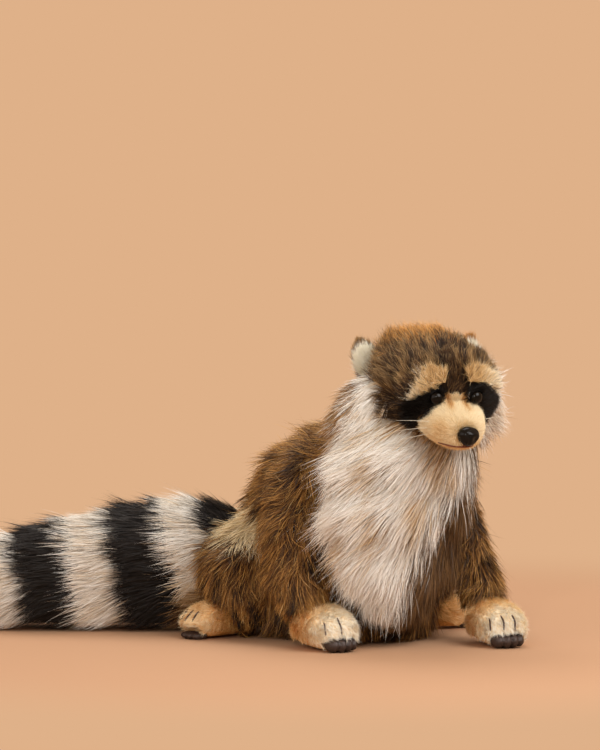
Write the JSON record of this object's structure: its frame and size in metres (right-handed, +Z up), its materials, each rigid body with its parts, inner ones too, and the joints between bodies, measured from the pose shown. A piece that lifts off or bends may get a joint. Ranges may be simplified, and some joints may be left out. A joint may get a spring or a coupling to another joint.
{
  "type": "plush raccoon",
  "caption": "Seated plush raccoon with a dark face mask, a pale chest bib and a long bushy ringed tail lying on the floor.",
  "frame": {"origin": "middle of the seat panel's underside, on the floor", "axes": "+Z up, -Y the way the body faces, -X the raccoon's right side; the tail lies towards -X and +Y"},
  "size_m": [0.4989, 0.5466, 0.3182],
  "materials": {
    "brown_pile": "long brown pile over dark roots",
    "head_pile": "short mottled grey-brown pile",
    "black_pile": "black-brown pile",
    "cream_pile": "cream pile",
    "white_pile": "long white pile with tan shading",
    "muzzle_pile": "short golden cream plush",
    "lining_pile": "short cream lining",
    "pad_leather": "dark brown, slightly worn",
    "gloss_black": "glossy black",
    "washer_plastic": "plain white moulding",
    "seat_fabric": "plain brown woven fabric",
    "polyester_filling": "loose white fibre",
    "whisker_monofilament": "thin translucent filament"
  },
  "bodies": {
    "root": {"brow_patch_left": "cream_pile", "brow_patch_right": "cream_pile", "cheek_tuft_left": "white_pile", "cheek_tuft_right": "white_pile", "chest_bib": "white_pile", "ear_left": "brown_pile", "ear_lining_left": "lining_pile", "ear_lining_right": "lining_pile", "ear_right": "brown_pile", "eye_left": "gloss_black", "eye_right": "gloss_black", "eye_washer_left": "washer_plastic", "eye_washer_right": "washer_plastic", "front_leg_left": "brown_pile", "front_leg_right": "brown_pile", "front_pad_left": "pad_leather", "front_pad_right": "pad_leather", "front_paw_left": "cream_pile", "front_paw_right": "cream_pile", "head": "head_pile", "hind_leg_left": "brown_pile", "hind_leg_right": "brown_pile", "hind_pad_left": "pad_leather", "hind_pad_right": "pad_leather", "hind_paw_left": "cream_pile", "hind_paw_right": "cream_pile", "mask_patch_left": "black_pile", "mask_patch_right": "black_pile", "muzzle": "muzzle_pile", "nose": "gloss_black", "nose_washer": "washer_plastic", "seat_panel": "seat_fabric", "tail_band_black_1": "black_pile", "tail_band_black_2": "black_pile", "tail_band_black_3": "black_pile", "tail_band_cream_1": "cream_pile", "tail_band_cream_2": "cream_pile", "tail_band_cream_3": "cream_pile", "tail_band_cream_4": "cream_pile", "tail_tip_black": "black_pile", "torso": "brown_pile", "torso_filling": "polyester_filling", "whisker_left_1": "whisker_monofilament", "whisker_left_2": "whisker_monofilament", "whisker_left_3": "whisker_monofilament", "whisker_right_1": "whisker_monofilament", "whisker_right_2": "whisker_monofilament", "whisker_right_3": "whisker_monofilament"}
  },
  "joints": []
}
